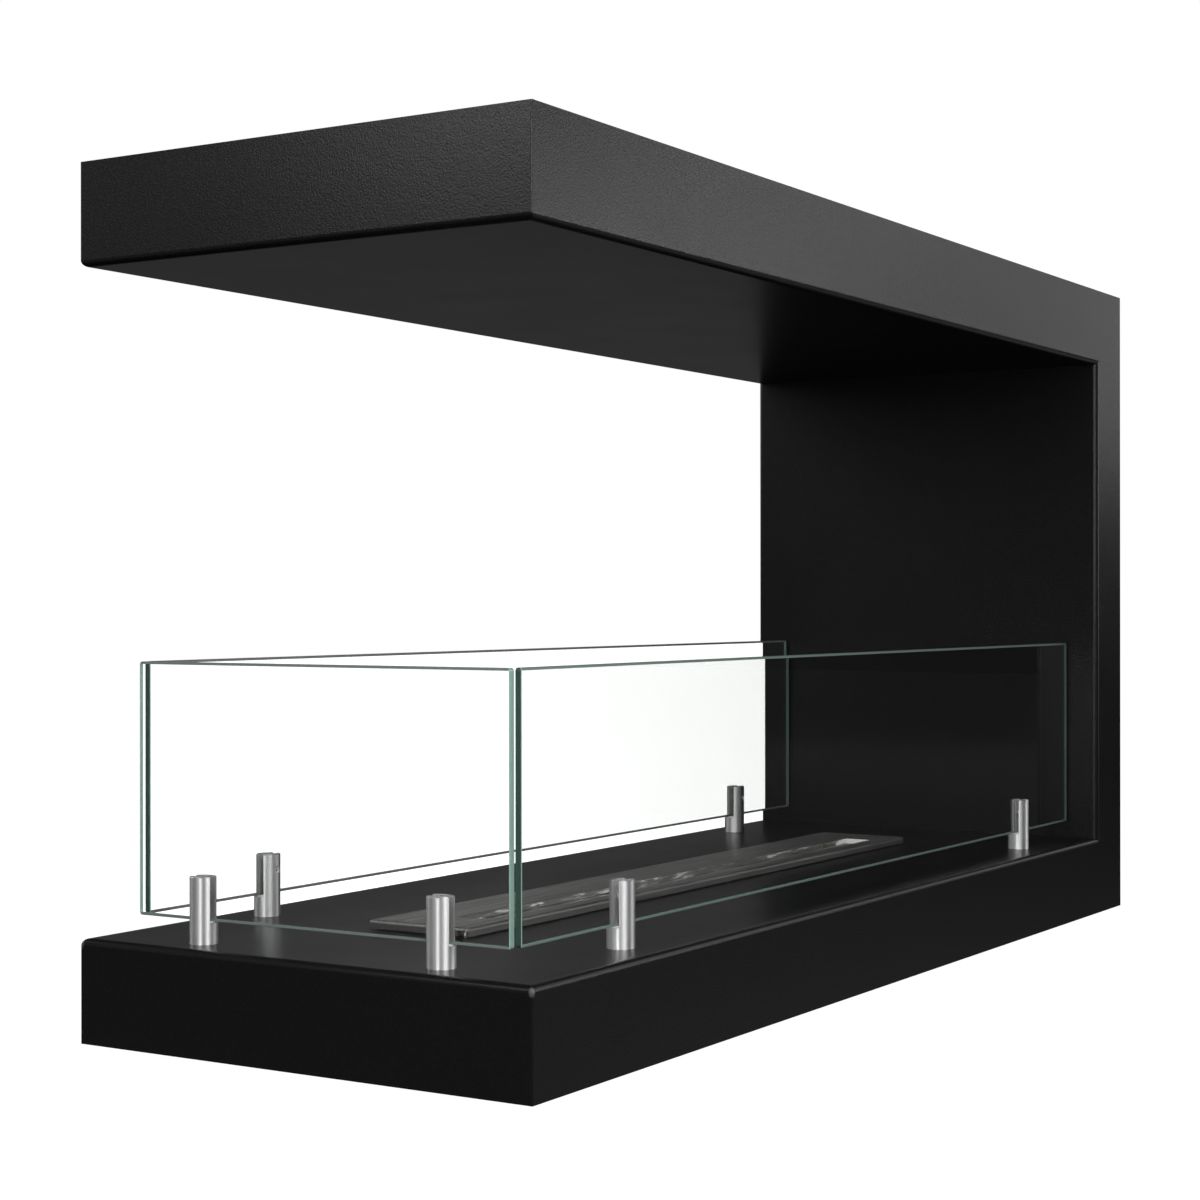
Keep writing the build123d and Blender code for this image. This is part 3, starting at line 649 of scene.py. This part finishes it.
def seesBackdrop(tree, plain, boosted):
    # the backdrop's glow for the camera's own rays: plain straight on, boosted through the glass, else 0
    path = addNode(tree, "ShaderNodeLightPath")
    bounced = addNode(tree, "ShaderNodeMath", {
        0: path.outputs["Diffuse Depth"], 1: path.outputs["Glossy Depth"],
    }, operation="ADD")
    direct = addNode(tree, "ShaderNodeMath", {0: bounced.outputs[0], 1: 0.5}, operation="LESS_THAN")
    passed = addNode(tree, "ShaderNodeMath", {
        0: path.outputs["Is Transmission Ray"], 1: direct.outputs[0],
    }, operation="MULTIPLY")
    through = addNode(tree, "ShaderNodeMath", {0: passed.outputs[0], 1: boosted}, operation="MULTIPLY")
    straight = addNode(tree, "ShaderNodeMath", {
        0: path.outputs["Is Camera Ray"], 1: plain,
    }, operation="MULTIPLY")
    glow = addNode(tree, "ShaderNodeMath", {0: straight.outputs[0], 1: through.outputs[0]}, operation="ADD")
    return glow.outputs[0]


def makeWorld(spec):
    world = bpy.data.worlds.new("studio")
    bpy.context.scene.world = world
    world.use_nodes = True
    tree = world.node_tree
    tree.nodes.clear()
    coords = addNode(tree, "ShaderNodeTexCoord")
    height = addNode(tree, "ShaderNodeSeparateXYZ", {"Vector": coords.outputs["Generated"]}).outputs["Z"]
    facing = addNode(tree, "ShaderNodeVectorMath", {
        0: coords.outputs["Generated"], 1: spec["backdropAt"],
    }, operation="DOT_PRODUCT").outputs["Value"]
    nearTable = addNode(tree, "ShaderNodeMapRange", {
        "Value": height,
        **between(spec["nearTableFadeOut"]),
        "To Min": spec["nearTableGlow"],
        "To Max": 0.0,
    }, interpolation_type="SMOOTHSTEP")
    underfoot = addNode(tree, "ShaderNodeMapRange", {
        "Value": height,
        **between(spec["nearTableFadeIn"]),
        "To Min": 0.0,
        "To Max": nearTable.outputs[0],
    }, interpolation_type="SMOOTHSTEP")
    below = addNode(tree, "ShaderNodeMapRange", {
        "Value": facing,
        **between(spec["tableFacing"]),
        "To Min": underfoot.outputs[0],
        "To Max": spec["tableGlow"],
    }, interpolation_type="SMOOTHSTEP")
    above = addNode(tree, "ShaderNodeMapRange", {
        "Value": facing,
        **between(spec["backdropFacing"]),
        "To Min": spec["aroundGlow"],
        "To Max": spec["backdropGlow"],
    }, interpolation_type="SMOOTHSTEP")
    level = addNode(tree, "ShaderNodeMapRange", {
        "Value": height,
        **between(spec["horizonSpan"]),
        "To Min": below.outputs[0],
        "To Max": above.outputs[0],
    }, interpolation_type="SMOOTHSTEP")
    room = addNode(tree, "ShaderNodeMapRange", {
        "Value": height,
        **between(spec["ceilingSpan"]),
        "To Min": level.outputs[0],
        "To Max": spec["ceilingGlow"],
    }, interpolation_type="SMOOTHSTEP")
    seen = seesBackdrop(tree, spec["skyGlow"], spec["behindGlass"])
    brighter = addNode(tree, "ShaderNodeMath", {0: room.outputs[0], 1: seen}, operation="MAXIMUM")
    background = addNode(tree, "ShaderNodeBackground", {
        "Color": (1, 1, 1, 1), "Strength": brighter.outputs[0],
    })
    addNode(tree, "ShaderNodeOutputWorld", {"Surface": background.outputs[0]})


# Soft boxes. Their glow is how bright each one's face is, so a larger box gives more light at the same glow.
lamps = {
    "rightHigh": {"at": (2.6, -1.4, 1.5), "towards": (-0.3, -0.175, 0.5), "size": (0.8, 0.9), "glow": 1.48},
    "rightLow": {"at": (2.3, -2.1, 0.8), "towards": (-0.3, -0.175, 0.5), "size": (0.8, 0.5), "glow": 4.27},
    "rightEdge": {"at": (2.8, -0.75, 0.8), "towards": (-0.3, -0.175, 0.5), "size": (0.7, 0.5), "glow": 0.82},
    "leftStrip": {"at": (-1.5, 0.5, 1.15), "towards": (0.0, 0.5, 1.15), "size": (0.35, 0.8), "glow": 6.26},
    "leftFar": {"at": (-2.9, -0.45, 0.55), "towards": (-0.4, 0.0, 0.1), "size": (0.6, 0.9), "glow": 9.24},
    "overTable": {"at": (-0.75, -0.75, 0.6), "towards": (-0.6, -0.45, 0.0), "size": (0.4, 0.4), "glow": 10.9},
    "frontLow": {"at": (-0.9, -1.6, 0.5), "towards": (0.0, 0.0, 0.3), "size": (0.6, 0.6), "glow": 2.32},
    "frontFar": {"at": (2.2, -3.2, 0.6), "towards": (-0.3, -0.1, 0.1), "size": (1.0, 1.0), "glow": 3.22},
    "rearSoft": {"at": (-0.6, 2.4, 1.1), "towards": (0.0, 0.0, 0.3), "size": (1.4, 0.9), "glow": 2.5},
}


def addLamp(name, spec):
    data = bpy.data.lights.new(name, "AREA")
    data.shape = "RECTANGLE"
    data.size, data.size_y = spec["size"]
    data.energy = pi * data.size * data.size_y * spec["glow"]
    lamp = bpy.data.objects.new(name, data)
    aim = Vector(spec["towards"]) - Vector(spec["at"])
    lamp.matrix_world = Matrix.Translation(spec["at"]) @ aim.to_track_quat("-Z", "Y").to_matrix().to_4x4()
    lamp.visible_camera = False
    lamp.visible_transmission = False
    bpy.context.scene.collection.objects.link(lamp)


# Camera: worked out from the corners of the housing in the photograph
cameraSpec = {
    "at": (-1.5735, -0.8855, 0.2888),
    "right": (0.52686, -0.85, -0.00077),
    "up": (-0.00004, -0.00091, 1.0),
    "forward": (0.85, 0.52686, 0.00049),
    "lensMm": 68.27,
    "sensorMm": 36,
    "clipStart": 0.01,
}


def addCamera(spec):
    data = bpy.data.cameras.new("photoCamera")
    data.lens = spec["lensMm"]
    data.sensor_width = spec["sensorMm"]
    data.clip_start = spec["clipStart"]
    camera = bpy.data.objects.new("photoCamera", data)
    axes = Matrix((spec["right"], spec["up"], [-c for c in spec["forward"]])).transposed()
    camera.matrix_world = Matrix.Translation(spec["at"]) @ axes.to_4x4()
    bpy.context.scene.collection.objects.link(camera)
    bpy.context.scene.camera = camera


makeFloor(studio)
makeWorld(studio)
for lampName, lampSpec in lamps.items():
    addLamp(lampName, lampSpec)
addCamera(cameraSpec)
bpy.context.scene.view_settings.view_transform = "Standard"
print("set the floor, the light and the camera")
